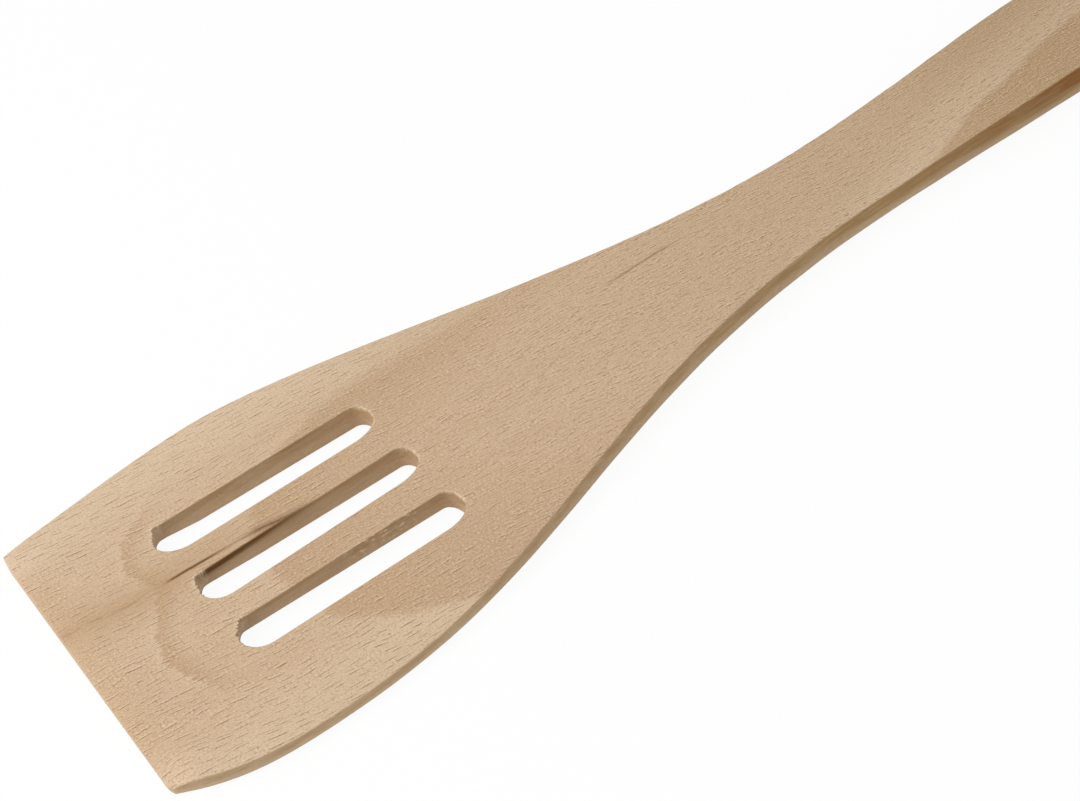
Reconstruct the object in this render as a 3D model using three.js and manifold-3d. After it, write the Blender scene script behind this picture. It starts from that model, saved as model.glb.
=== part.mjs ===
// A slotted wooden turner, sawn from one beech board.
// Millimetres, +Z up. The flat underside lies on Z = 0, +X runs from the blade to the handle's end,
// and the origin is under the middle of the length. Stations along the board are measured from
// the blade's front edge.
import * as THREE from 'three';
import { mergeVertices } from 'three/addons/utils/BufferGeometryUtils.js';
import Module from 'manifold-3d';

// Length of the whole board
const overallLength = 300;

// Blade and neck, seen from above. The two sides were sawn a little differently: the left one, on +Y,
// has its front corner further out, and the right one, on -Y, flares more and is widest further forward.
const bladeWidth = 75.6;
const leftCornerInset = 4.1;
const leftFlareLead = 9.8;
const leftFlareRise = 0.5;
const leftFlareRunIn = 14;
const leftWidestAt = 44;
const leftShoulderAt = 72;
const leftNeckReach = 62;
const rightCornerInset = 7.3;
const rightFlareLead = 10.1;
const rightFlareRise = 5.1;
const rightFlareRunIn = 20;
const rightWidestAt = 36.7;
const rightShoulderAt = 87.4;
const rightNeckReach = 76.5;
const cornerCut = 1.2;

// Waist, where the handle is narrowest
const waistWidth = 23.3;
const waistAt = 187.5;

// Grip, seen from above, and how far the whole handle lies to the left of the blade's middle line
const gripWidth = 27.1;
const waistReach = 34;
const gripReach = 60;
const handleOffset = -0.85;

// Thickness along the middle of the board, from the thin front edge to the grip
const frontThickness = 2.4;
const noseThickness = 3.75;
const noseLength = 6.6;
const bladeThickness = 5.1;
const bladeThickAt = 74.5;
const waistThickness = 6.5;
const gripThickness = 8.6;
const gripThickAt = 257.5;

// Crown across the blade: how thick its sides are left at the widest place, how far the crown bulges
// above a straight fall, and how far outside the handle that fall starts
const sideThickness = 3.1;
const crownBulge = 1;
const crownMargin = 0.5;

// Slots through the blade, how far the middle one lies to the left of the blade's middle line, and how
// much further forward the left one was cut
const slotCount = 3;
const slotWidth = 7.7;
const slotLength = 48.9;
const slotPitch = 14.6;
const slotOffset = -0.4;
const slotCentreAt = 49.5;
const leftSlotLead = 1;
const slotTurnDegrees = -1.6;

// How finely curves are cut into straight steps, and how far cutters pass the faces they cut
const flareSteps = 12;
const neckSteps = 30;
const gripSteps = 12;
const endSteps = 12;
const slotEndSteps = 12;
const topSteps = 10;
const crownSteps = 8;
const cutterOverrun = 5;

const beechColour = 0xd0ae87;
const beechRoughness = 0.72;

const bladeHalf = bladeWidth / 2;
const waistHalf = waistWidth / 2;
const gripHalf = gripWidth / 2;
const greatestThickness = Math.max(noseThickness, bladeThickness, waistThickness, gripThickness);
const handleHalf = Math.max(waistHalf, gripHalf) + Math.abs(handleOffset);
const greatestHalf = Math.max(bladeHalf, handleHalf);

const wasm = await Module();
wasm.setup();

// Turns a closed three.js geometry into a solid for joining and cutting.
function toSolid(geometry) {
  const bare = geometry.clone();
  bare.deleteAttribute('normal');
  bare.deleteAttribute('uv');
  const merged = mergeVertices(bare);
  const vertProperties = new Float32Array(merged.attributes.position.array);
  const triVerts = new Uint32Array(merged.index.array);
  return new wasm.Manifold(new wasm.Mesh({ numProp: 3, vertProperties, triVerts }));
}

// Turns a finished solid back into a three.js geometry.
function toGeometry(solid) {
  const mesh = solid.getMesh();
  const geometry = new THREE.BufferGeometry();
  geometry.setAttribute('position', new THREE.BufferAttribute(mesh.vertProperties, 3));
  geometry.setIndex(new THREE.BufferAttribute(mesh.triVerts, 1));
  geometry.computeVertexNormals();
  return geometry;
}

function point(x, y) {
  return new THREE.Vector2(x, y);
}

// One long edge of the board seen from above, from its front corner to the tip of the handle. Widths
// are measured outwards from the blade's middle line, and shift is how far outwards the handle lies.
function sideEdge(side) {
  const { cornerInset, flareLead, flareRise, flareRunIn, widestAt, shoulderAt, neckReach, shift } = side;
  const frontHalf = bladeHalf - cornerInset;
  const gripEndAt = overallLength - gripHalf;
  const waistSide = waistHalf + shift;
  const gripSide = gripHalf + shift;
  const edge = new THREE.Path();
  edge.moveTo(0, frontHalf - cornerCut);
  // The corner is eased between the front edge and the flare that leaves it.
  const flareStep = cornerCut / Math.hypot(flareLead, flareRise);
  const flareStart = point(flareStep * flareLead, frontHalf + flareStep * flareRise);
  edge.quadraticCurveTo(0, frontHalf, flareStart.x, flareStart.y);
  edge.bezierCurveTo(
    flareLead, frontHalf + flareRise,
    widestAt - flareRunIn, bladeHalf,
    widestAt, bladeHalf,
  );
  const bladePoints = edge.getPoints(flareSteps);
  const neck = new THREE.CubicBezierCurve(
    point(widestAt, bladeHalf),
    point(shoulderAt, bladeHalf),
    point(waistAt - neckReach, waistSide),
    point(waistAt, waistSide),
  );
  const grip = new THREE.CubicBezierCurve(
    point(waistAt, waistSide),
    point(waistAt + waistReach, waistSide),
    point(gripEndAt - gripReach, gripSide),
    point(gripEndAt, gripSide),
  );
  const end = new THREE.EllipseCurve(gripEndAt, shift, gripHalf, gripHalf, Math.PI / 2, 0, true);
  return [
    ...bladePoints,
    ...neck.getPoints(neckSteps).slice(1),
    ...grip.getPoints(gripSteps).slice(1),
    ...end.getPoints(endSteps).slice(1, -1),
    point(overallLength, shift),
  ];
}

// The board's outline, sawn square through its greatest thickness.
function sawnOutline() {
  const left = sideEdge({
    cornerInset: leftCornerInset,
    flareLead: leftFlareLead,
    flareRise: leftFlareRise,
    flareRunIn: leftFlareRunIn,
    widestAt: leftWidestAt,
    shoulderAt: leftShoulderAt,
    neckReach: leftNeckReach,
    shift: handleOffset,
  });
  const right = sideEdge({
    cornerInset: rightCornerInset,
    flareLead: rightFlareLead,
    flareRise: rightFlareRise,
    flareRunIn: rightFlareRunIn,
    widestAt: rightWidestAt,
    shoulderAt: rightShoulderAt,
    neckReach: rightNeckReach,
    shift: -handleOffset,
  });
  const rightBack = right.slice(0, -1).reverse().map((p) => point(p.x, -p.y));
  const outline = new THREE.Shape([...left, ...rightBack]);
  const depth = greatestThickness + 2 * cutterOverrun;
  const geometry = new THREE.ExtrudeGeometry(outline, { depth, bevelEnabled: false });
  geometry.translate(0, 0, -cutterOverrun);
  return toSolid(geometry);
}

// The board's side profile: flat below, planed to a taper above, as wide as the widest place.
function planedProfile() {
  const bladeSlope = (bladeThickness - noseThickness) / (bladeThickAt - noseLength);
  const noseMiddle = noseLength / 2;
  const neckThird = (waistAt - bladeThickAt) / 3;
  const gripThird = (gripThickAt - waistAt) / 3;
  const top = new THREE.Path();
  top.moveTo(-cutterOverrun, frontThickness);
  top.lineTo(0, frontThickness);
  top.quadraticCurveTo(noseMiddle, noseThickness - bladeSlope * noseMiddle, noseLength, noseThickness);
  top.lineTo(bladeThickAt, bladeThickness);
  top.bezierCurveTo(
    bladeThickAt + neckThird, bladeThickness + bladeSlope * neckThird,
    waistAt - neckThird, waistThickness,
    waistAt, waistThickness,
  );
  top.bezierCurveTo(
    waistAt + gripThird, waistThickness,
    gripThickAt - gripThird, gripThickness,
    gripThickAt, gripThickness,
  );
  top.lineTo(overallLength + cutterOverrun, gripThickness);
  const profile = new THREE.Shape([
    point(-cutterOverrun, 0),
    ...top.getPoints(topSteps),
    point(overallLength + cutterOverrun, 0),
  ]);
  const depth = 2 * (greatestHalf + cutterOverrun);
  const geometry = new THREE.ExtrudeGeometry(profile, { depth, bevelEnabled: false });
  geometry.rotateX(Math.PI / 2);
  geometry.translate(0, depth / 2, 0);
  return toSolid(geometry);
}

// The board's end profile: full height over the handle, then falling in a crown to the blade's sides.
function crownedProfile() {
  const startHalf = handleHalf + crownMargin;
  const middle = point((startHalf + bladeHalf) / 2, (waistThickness + sideThickness) / 2 + crownBulge);
  const fall = new THREE.QuadraticBezierCurve(
    point(startHalf, waistThickness),
    middle,
    point(bladeHalf, sideThickness),
  );
  const edgeSlope = (sideThickness - middle.y) / (bladeHalf - middle.x);
  const left = [
    point(startHalf, greatestThickness + cutterOverrun),
    ...fall.getPoints(crownSteps),
    point(bladeHalf + cutterOverrun, sideThickness + edgeSlope * cutterOverrun),
    point(bladeHalf + cutterOverrun, -cutterOverrun),
  ];
  const right = left.slice().reverse().map((p) => point(-p.x, p.y));
  const profile = new THREE.Shape([...left, ...right]);
  const depth = overallLength + 2 * cutterOverrun;
  const geometry = new THREE.ExtrudeGeometry(profile, { depth, bevelEnabled: false });
  const alongBoard = new THREE.Matrix4().makeBasis(
    new THREE.Vector3(0, 1, 0),
    new THREE.Vector3(0, 0, 1),
    new THREE.Vector3(1, 0, 0),
  );
  geometry.applyMatrix4(alongBoard);
  geometry.translate(-cutterOverrun, 0, 0);
  return toSolid(geometry);
}

// One slot cutter with round ends, placed by how far it lies to the left of the blade's middle line and
// how far forward of the slots' common station.
function slotCutter(offset, lead) {
  const radius = slotWidth / 2;
  const straightHalf = slotLength / 2 - radius;
  const shape = new THREE.Shape();
  shape.absarc(straightHalf, 0, radius, -Math.PI / 2, Math.PI / 2, false);
  shape.absarc(-straightHalf, 0, radius, Math.PI / 2, 1.5 * Math.PI, false);
  const depth = greatestThickness + 2 * cutterOverrun;
  const geometry = new THREE.ExtrudeGeometry(shape, {
    depth,
    bevelEnabled: false,
    curveSegments: slotEndSteps,
  });
  geometry.rotateZ(THREE.MathUtils.degToRad(slotTurnDegrees));
  geometry.translate(slotCentreAt - lead, offset, -cutterOverrun);
  return toSolid(geometry);
}

function spatulaBody() {
  let solid = sawnOutline().intersect(planedProfile()).intersect(crownedProfile());
  for (let i = 0; i < slotCount; i += 1) {
    const offset = slotOffset + (i - (slotCount - 1) / 2) * slotPitch;
    const lead = i === slotCount - 1 ? leftSlotLead : 0;
    solid = solid.subtract(slotCutter(offset, lead));
  }
  const geometry = toGeometry(solid);
  geometry.translate(-overallLength / 2, 0, 0);
  const beech = new THREE.MeshStandardMaterial({
    color: beechColour,
    roughness: beechRoughness,
    metalness: 0,
    flatShading: true,
  });
  const mesh = new THREE.Mesh(geometry, beech);
  mesh.name = 'spatula_body';
  return mesh;
}

const spatula = new THREE.Group();
spatula.name = 'spatula';
spatula.add(spatulaBody());

export default spatula;
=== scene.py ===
import math
import bpy
import numpy as np
from mathutils import Matrix, Vector


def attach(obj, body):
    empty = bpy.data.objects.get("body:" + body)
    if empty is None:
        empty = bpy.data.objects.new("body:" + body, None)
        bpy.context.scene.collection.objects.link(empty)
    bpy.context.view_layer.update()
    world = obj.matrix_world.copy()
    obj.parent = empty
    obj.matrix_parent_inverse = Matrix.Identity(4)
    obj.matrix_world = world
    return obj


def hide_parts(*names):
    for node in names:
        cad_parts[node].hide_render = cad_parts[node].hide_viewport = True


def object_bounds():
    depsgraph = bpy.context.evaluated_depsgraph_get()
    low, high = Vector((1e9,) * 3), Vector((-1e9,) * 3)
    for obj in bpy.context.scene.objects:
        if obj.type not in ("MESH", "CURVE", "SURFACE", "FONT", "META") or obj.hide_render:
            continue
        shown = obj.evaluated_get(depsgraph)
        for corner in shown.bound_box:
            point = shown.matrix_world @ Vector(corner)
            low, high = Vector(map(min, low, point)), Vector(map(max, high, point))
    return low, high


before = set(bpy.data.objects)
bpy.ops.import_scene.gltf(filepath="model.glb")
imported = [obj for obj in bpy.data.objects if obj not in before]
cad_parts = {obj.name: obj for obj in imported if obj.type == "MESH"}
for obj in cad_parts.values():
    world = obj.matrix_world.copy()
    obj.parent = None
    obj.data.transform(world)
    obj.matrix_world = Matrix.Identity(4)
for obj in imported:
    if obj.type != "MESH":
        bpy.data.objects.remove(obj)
cadLow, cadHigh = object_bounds()
mm = 0.001
print("frame loaded, box in mm:", [round(v / mm, 1) for v in (cadHigh - cadLow)])


# Board: lengths in mm, stations run from the front edge to the end of the handle
board = {
    "length": (cadHigh.x - cadLow.x) / mm,
    "bladeHalf": (cadHigh.y - cadLow.y) / 2 / mm,
    "gripThick": (cadHigh.z - cadLow.z) / mm,
    "leftSide": {  # the +Y side
        "inset": 4.1, "flare": (9.8, 0.5), "runIn": 14, "widestAt": 44,
        "shoulderAt": 72, "neckReach": 62, "lean": 0.1,
    },
    "rightSide": {  # the -Y side
        "inset": 7.3, "flare": (10.1, 5.1), "runIn": 20, "widestAt": 36.7,
        "shoulderAt": 87.4, "neckReach": 76.5, "lean": 0.25,
    },
    "cornerCut": 1.2,
    "cornerFrom": 0.965,  # the front corners lean back outside this share of the width
    "cornerReach": 5,  # and over this length
    "waistHalf": 11.65, "waistAt": 187.5, "gripHalf": 13.55, "waistReach": 34, "gripReach": 60,
    "handleOffset": -0.85,  # the handle lies this far to the left of the blade's middle line
    "frontThick": (1.8, 3.2),  # the planed nose is thinner at the right corner than at the left
    "noseThick": 3.75, "noseLength": 6.6, "bladeThick": 5.1, "bladeThickAt": 74.5,
    "waistThick": 6.5, "gripThickAt": 257.5,
    "sideThick": 3.1, "crownBulge": 1, "crownMargin": 0.5,
    "crownBlend": 0.3,  # softness of the line where the crown meets the planed face
    "crownRun": (110, 165),  # the crown's fall is lifted clear of the neck between these
    "crownLift": 6,
    "edgeBand": 1.5,  # width of the band that carries the sanded edge
    "easeTop": {"blade": 0.28, "handle": 0.36, "front": 0.4},  # radius of the sanded upper edge
    "easeLow": {"blade": 0.5, "handle": 0.85, "front": 0.35},
    "easeRun": (90, 190),  # the blade's easing turns into the handle's between these
    "frontReach": 10,  # the front's easing is used this near the front edge
    "frontFacing": (0.3, 0.95),  # and grows as the edge turns to face forwards
    "rubbing": {"along": 0.21, "across": 0.3, "slow": 0.083, "share": 0.14},  # waves of hand sanding
    "chipStep": 2.2,  # spacing of the small chips along the handle's upper edges
    "chipShare": 0.35, "chipSeed": 7,
    "burn": ((50, 0.6), (150, 0.9), (215, 1.2), (245, 2.1)),  # how brown the walls are along the board: partly their own sawn colour, partly painted shade
    "brownAndShadeRise": (0.05, 0.65),  # the brown and painted shade set in between these shares of the wall's height, darkening the walls towards the top
    "frontColumns": 26, "slotColumns": 80, "rearColumns": 240, "endColumns": 16,
    "sideRows": 16, "slotRows": 14, "turnSteps": 6, "wallSteps": 5,
    "frontSpread": 1.5,  # columns lie closer at the front edge
    "slotBunching": 0.6,  # and at the ends of the slots
    "endGap": 0.4,  # half width of the last column
    "rowSpread": 1.4,  # rows lie closer at the long edges
}

# Slots: three routed openings with round ends, each a little off its neighbours' line
slots = {
    # Right, middle and left: torn gives the broken corner's turn, fall and size, nearReach how far the
    # front and back ends are drawn out on the near side, and closing how far the far wall comes in
    # towards the bottom, by place along the slot
    "cuts": (
        {"centre": (49.6, -14.95), "width": 8, "length": 49, "turn": -2.3,
         "torn": (110, 24, 0.57), "chipped": (49, 68),
         "nearReach": (4.8, 6.2), "closing": ((-21, 0), (21, 0.1))},
        {"centre": (49.4, -0.52), "width": 7.6, "length": 48.7, "turn": -1.1,
         "torn": (127, 30, 1), "chipped": None,
         "nearReach": (4.8, 6.2), "closing": ((-21, 0), (-10, 0.5), (21, 0.9))},
        {"centre": (48.35, 14.32), "width": 7.9, "length": 49.2, "turn": -1.75,
         "torn": (118, 22, 0.82), "chipped": None,
         "nearReach": (6.2, 6.2), "closing": ((-21, 0.3), (-14, 1), (21, 1.05))},
    ),
    "farReach": 2.5,  # the far corners are blunter
    "blocks": (21, 78),  # the grid leaves room for the slots between these stations
    "blockPitch": 14.6, "blockOffset": -0.4, "blockTurn": -1.6,
    "landRings": 7,
    "landSpread": 1.7,  # rings on the land lie closer at the rim
    "rimEase": (0.24, 0.42),  # radius of the eased rim along the sides and at the handle's end
    "lowerRimEase": 0.3,
    "tornRim": 0.6,  # share of that easing that a torn corner loses
    "tornWave": {"size": 0.12, "pace": 0.7, "start": 2},
    "tornFade": 2.5,  # power by which the tear runs out down the wall
    "frayedTurn": (92, 108, 170, 215),  # the front end is frayed between these degrees
    "jag": 0.28, "jagSeed": 20,  # how unevenly the frayed rim breaks
    "lipRise": 0.1,  # how far the torn fibres stand up
    "lipPower": 12,  # and how close to the rim they stay
    "fibresAndHighlight": {"land": 0.8, "landBackHighlight": 0.3, "rim": 0.7, "rimBackHighlight": 0.7, "wall": 0.5},  # pale torn fibres, and a painted highlight along the back rims
    "chipEase": 3,  # the chipped stretch sets in and ends over this length
    "chip": {"rim": 0.4, "wallLoss": 0.5},
    "burn": (0.08, 0.8),  # how brown the walls are at the bottom and at the top: partly their own routed colour, partly painted shade towards the rim
    "frayedLoss": 0.4,  # share of the brown and painted shade that frayed walls lose
}

band = board["edgeBand"]
gripEndAt = board["length"] - board["gripHalf"]
endRadius = board["gripHalf"] - band


# Steps from low to high, as many as one of the board's counts says
def steps(name, low=0.0, high=1.0):
    return np.linspace(low, high, board[name] + 1)


# Bezier curve: neighbouring control points are mixed by t again and again until one point is left
def bezier(controls, count=240):
    t = np.linspace(0.0, 1.0, count)[:, None]
    layer = [np.asarray(c, float)[None, :] for c in controls]
    while len(layer) > 1:
        layer = [(1 - t) * a + t * b for a, b in zip(layer, layer[1:])]
    return layer[0]


# Smooth step: 3 u squared minus 2 u cubed, with u running from 0 at low to 1 at high
def smoothStep(x, low, high):
    u = np.clip((x - low) / (high - low), 0.0, 1.0)
    return u * u * (3 - 2 * u)


# Window: a smooth step up between the first two values, times one down between the last two
def window(x, start, full, fade, end):
    return smoothStep(x, start, full) * (1 - smoothStep(x, fade, end))


# One long edge from above: flare, neck and grip as three Bezier curves, measured outwards from the
# blade's middle line; shift is how far outwards the handle lies
def longEdge(side, shift):
    wide = board["bladeHalf"]
    half = wide - side["inset"]
    lead, rise = side["flare"]
    widestAt = side["widestAt"]
    waistAt = board["waistAt"]
    waist = board["waistHalf"] + shift
    grip = board["gripHalf"] + shift
    ease = board["cornerCut"] / math.hypot(lead, rise)  # the flare starts behind the corner
    flare = bezier([
        (ease * lead, half + ease * rise), (lead, half + rise),
        (widestAt - side["runIn"], wide), (widestAt, wide),
    ])
    neck = bezier([
        (widestAt, wide), (side["shoulderAt"], wide),
        (waistAt - side["neckReach"], waist), (waistAt, waist),
    ])
    rear = bezier([
        (waistAt, waist), (waistAt + board["waistReach"], waist),
        (gripEndAt - board["gripReach"], grip), (gripEndAt, grip),
    ])
    return np.concatenate([[(0.0, half)], flare, neck[1:], rear[1:]])


leftEdge = longEdge(board["leftSide"], board["handleOffset"])
rightEdge = longEdge(board["rightSide"], -board["handleOffset"])


# Width inside the edge band: the edge minus the band measured square to it, and a smaller circle
# round the end of the handle
def innerHalf(x, edge, shift):
    rising = edge[:, 0] + np.arange(len(edge)) * 1e-9  # no two stations are quite the same
    slope = np.gradient(edge[:, 1], rising)
    straight = np.interp(x, edge[:, 0], edge[:, 1] - band * np.sqrt(1 + slope ** 2))
    circle = shift + np.sqrt(np.clip(endRadius ** 2 - (x - gripEndAt) ** 2, 0.0, None))
    return np.where(x <= gripEndAt, straight, circle)


# Thickness along the middle: a quadratic nose, a straight taper over the blade, a Hermite cubic
# over the neck and a smooth step up to the grip; the nose starts from a straight line across
def middleThickness(x, y):
    b = board
    noseAt, bladeAt, waistAt = b["noseLength"], b["bladeThickAt"], b["waistAt"]
    noseThick, bladeThick, waistThick = b["noseThick"], b["bladeThick"], b["waistThick"]
    rightFront, leftFront = b["frontThick"]
    front = rightFront + (leftFront - rightFront) * (y + b["bladeHalf"]) / (2 * b["bladeHalf"])
    slope = (bladeThick - noseThick) / (bladeAt - noseAt)
    t = np.clip(x / noseAt, 0.0, 1.0)
    lift = noseThick - slope * noseAt / 2
    nose = (1 - t) ** 2 * front + 2 * t * (1 - t) * lift + t * t * noseThick
    taper = noseThick + slope * (x - noseAt)
    run = waistAt - bladeAt
    u = np.clip((x - bladeAt) / run, 0.0, 1.0)
    neck = (2 * u ** 3 - 3 * u ** 2 + 1) * bladeThick + (u ** 3 - 2 * u ** 2 + u) * slope * run
    neck = neck + (3 * u ** 2 - 2 * u ** 3) * waistThick
    grip = waistThick + (b["gripThick"] - waistThick) * smoothStep(x, waistAt, b["gripThickAt"])
    blade = np.where(x < noseAt, nose, taper)
    return np.where(x < bladeAt, blade, np.where(x < waistAt, neck, grip))


# Top face: the lower of the middle thickness and the crown's fall across the blade, joined softly
# by minus k log(exp(-a/k) + exp(-b/k)); the fall is a quadratic Bezier and is lifted off the neck
def topHeight(x, y):
    b = board
    start = b["gripHalf"] + abs(b["handleOffset"]) + b["crownMargin"]
    t = (np.abs(y) - start) / (b["bladeHalf"] - start)
    bulge = (b["waistThick"] + b["sideThick"]) / 2 + b["crownBulge"]
    fall = (1 - t) ** 2 * b["waistThick"] + 2 * t * (1 - t) * bulge + t * t * b["sideThick"]
    fall = fall + b["crownLift"] * smoothStep(x, *b["crownRun"])
    k = b["crownBlend"]
    return -k * np.logaddexp(-middleThickness(x, y) / k, -fall / k)


# Plan grid: columns of equal station, rows spread between the edges and the slots' block lines
blockStart, blockEnd = slots["blocks"]
blockMiddle = (blockStart + blockEnd) / 2
slotCount = len(slots["cuts"])
blockLean = math.tan(math.radians(slots["blockTurn"]))

frontX = band + (blockStart - band) * steps("frontColumns") ** board["frontSpread"]
blockTurn = steps("slotColumns", 0.0, 2 * math.pi)
blockShare = (blockTurn - board["slotBunching"] * np.sin(blockTurn)) / (2 * math.pi)
blockX = blockStart + (blockEnd - blockStart) * blockShare
rearX = steps("rearColumns", blockEnd, gripEndAt)
lastAngle = math.acos(board["endGap"] / endRadius)
endX = gripEndAt + endRadius * np.sin(steps("endColumns", 0.0, lastAngle))
columns = np.concatenate([frontX, blockX[1:], rearX[1:], endX[1:]])
firstBlockColumn = board["frontColumns"]
lastBlockColumn = firstBlockColumn + board["slotColumns"]


# The inner lines of both edges, right and left
def sideLines(x):
    shift = board["handleOffset"]
    return -innerHalf(x, rightEdge, -shift)[:, None], innerHalf(x, leftEdge, shift)[:, None]


# Lines across the grid: the slots' block lines follow the slots' turn beside the slots, and keep
# their share of the width in front of and behind them
def crossLines(x):
    held = np.clip(x, blockStart, blockEnd)
    offsets = slots["blockOffset"] + (np.arange(slotCount + 1) - slotCount / 2) * slots["blockPitch"]
    blockLines = offsets[None, :] + blockLean * (held - blockMiddle)[:, None]
    heldRight, heldLeft = sideLines(held)
    share = (blockLines - heldRight) / (heldLeft - heldRight)
    rightLine, leftLine = sideLines(x)
    return np.concatenate([rightLine, rightLine + share * (leftLine - rightLine), leftLine], axis=1)


lines = crossLines(columns)
sideShare = steps("sideRows")
slotShare = steps("slotRows")
rowPlaces = np.concatenate(
    [sideShare[:-1] ** board["rowSpread"]]
    + [1 + k + slotShare[:-1] for k in range(slotCount)]
    + [1 + slotCount + 1 - (1 - sideShare) ** board["rowSpread"]]
)
rowBelow = np.minimum(rowPlaces.astype(int), lines.shape[1] - 2)
rowMix = rowPlaces - rowBelow
gridY = lines[:, rowBelow] * (1 - rowMix) + lines[:, rowBelow + 1] * rowMix
gridX = np.repeat(columns[:, None], gridY.shape[1], axis=1)

# The front corners are eased: the last few rows lean back by a quadratic near the front edge
outerLine = np.where(gridY < 0, -lines[:, :1], np.abs(lines[:, -1:]))
cornerShare = (np.abs(gridY) / outerLine - board["cornerFrom"]) / (1 - board["cornerFrom"])
nearFront = np.clip(1 - (gridX - band) / board["cornerReach"], 0.0, 1.0)
cornerLean = np.where(gridY < 0, board["rightSide"]["lean"], board["leftSide"]["lean"])
gridX = gridX + cornerLean * np.clip(cornerShare, 0.0, 1.0) ** 2 * nearFront
gridPlaces = np.stack([gridX, gridY], axis=-1)
flatPlaces = gridPlaces.reshape(-1, 2)
print("plan grid:", gridX.shape)


# Points and faces of all the parts of the board, and for each point how brown its wall is, partly its
# own colour and partly painted shade, the way the top face would run on over its edge (fold), how far it
# is torn fibre or painted rim highlight, and how far wall or chip
parts = {"points": [], "wallBrownAndShade": [], "fold": [], "fibresAndHighlight": [], "wall": [], "chip": []}
faceParts = []


# Adds a grid of points to the board and gives back their numbers
def addPart(places, heights, wallBrownAndShade=0.0, fold=(0.0, 0.0), fibresAndHighlight=0.0, wall=0.0, chip=0.0):
    first = sum(len(points) for points in parts["points"])
    parts["points"].append(np.concatenate([places, heights[..., None]], axis=-1).reshape(-1, 3))
    parts["fold"].append(np.broadcast_to(fold, places.shape).reshape(-1, 2))
    for name, values in (("wallBrownAndShade", wallBrownAndShade), ("fibresAndHighlight", fibresAndHighlight), ("wall", wall), ("chip", chip)):
        parts[name].append(np.broadcast_to(values, heights.shape).ravel())
    return first + np.arange(heights.size).reshape(heights.shape)


topIndex = addPart(gridPlaces, topHeight(gridX, gridY))
lowIndex = addPart(gridPlaces, np.zeros_like(gridX))


# Quads of a grid: each cell joins its four corners, anticlockwise seen from above
def gridQuads(index, keep):
    quads = np.stack([index[:-1, :-1], index[1:, :-1], index[1:, 1:], index[:-1, 1:]], axis=-1)
    return quads[keep]


lastColumn, lastRow = np.array(gridX.shape) - 1
keepCells = np.ones((lastColumn, lastRow), bool)
firstBlockRow = board["sideRows"]
lastBlockRow = firstBlockRow + slotCount * board["slotRows"]
keepCells[firstBlockColumn:lastBlockColumn, firstBlockRow:lastBlockRow] = False
faceParts.append(gridQuads(topIndex, keepCells))
faceParts.append(gridQuads(lowIndex, keepCells)[:, ::-1])


# Loop of grid indices round a block, anticlockwise seen from above
def blockLoop(index, c0, c1, r0, r1):
    return np.concatenate([
        index[c0:c1, r0], index[c1, r0:r1], index[c1:c0:-1, r1], index[c0, r1:r0:-1],
    ])


# Band of quads between closed loops: each ring joins the next one all the way round
def ringQuads(loops):
    here = loops[:-1]
    after = loops[1:]
    quads = np.stack([here, after, np.roll(after, -1, axis=1), np.roll(here, -1, axis=1)], axis=-1)
    return quads.reshape(-1, 4)


# Sanded edge carried round the outline: the profile leaves the top face, turns down through a
# quarter circle, drops straight and turns in through another quarter circle
turn = steps("turnSteps", 0.0, math.pi / 2)[:, None]
drop = np.linspace(0.0, 1.0, board["wallSteps"] + 2)[1:-1, None]
topLoop = blockLoop(topIndex, 0, lastColumn, 0, lastRow)
lowLoop = topLoop + gridX.size  # the underside's points follow those of the top
loopPoints = flatPlaces[topLoop]
step = np.roll(loopPoints, -1, axis=0) - loopPoints
step = step / np.linalg.norm(step, axis=1)[:, None]
square = np.stack([step[:, 1], -step[:, 0]], axis=1)
outward = square + np.roll(square, 1, axis=0)
facing = outward / np.linalg.norm(outward, axis=1)[:, None]
outward = outward / (outward ** 2).sum(axis=1)[:, None] * 2  # mitred, so that a corner stays one
rimPoints = loopPoints + band * outward
rimX, rimY = rimPoints.T
onHandle = smoothStep(rimX, *board["easeRun"])
onFront = np.where(rimX < board["frontReach"], smoothStep(-facing[:, 0], *board["frontFacing"]), 0.0)
rubbing = board["rubbing"]
rubbed = np.sin(rimX * rubbing["along"] + rimY * rubbing["across"]) * np.sin(rimX * rubbing["slow"])
runLength = np.cumsum(np.linalg.norm(np.diff(rimPoints, axis=0, append=rimPoints[:1]), axis=1))
chipPlaces = np.arange(0.0, runLength[-1], board["chipStep"])
chipSizes = np.random.default_rng(board["chipSeed"]).uniform(-1.0, 1.0, len(chipPlaces))
chips = np.interp(runLength, chipPlaces, chipSizes, period=runLength[-1]) * board["chipShare"]


# Easing round the outline: blade, handle and front values mixed by place, with a slow rubbed wave
def easing(plan):
    side = plan["blade"] * (1 - onHandle) + plan["handle"] * onHandle
    return (side * (1 - onFront) + plan["front"] * onFront) * (1 + rubbing["share"] * rubbed)


easeTop = easing(board["easeTop"]) * (1 + chips * onHandle)
easeLow = easing(board["easeLow"])
upperOut = band - easeTop + easeTop * np.sin(turn)
upperPlaces = loopPoints[None] + upperOut[..., None] * outward[None]
upperHeight = topHeight(np.maximum(upperPlaces[..., 0], 0.0), upperPlaces[..., 1])
upperZ = upperHeight - easeTop * (1 - np.cos(turn))
wallZ = upperZ[-1] * (1 - drop) + easeLow * drop
wallPlaces = np.repeat(rimPoints[None], len(drop), axis=0)
lowerOut = band - easeLow + easeLow * np.cos(turn)
lowerPlaces = loopPoints[None] + lowerOut[..., None] * outward[None]
lowerZ = easeLow * (1 - np.sin(turn))
edgePlaces = np.concatenate([upperPlaces, wallPlaces, lowerPlaces])
edgeZ = np.concatenate([upperZ, wallZ, lowerZ])
edgeWall = np.concatenate([np.sin(turn), np.ones_like(drop), np.cos(turn)]) ** 2
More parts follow.
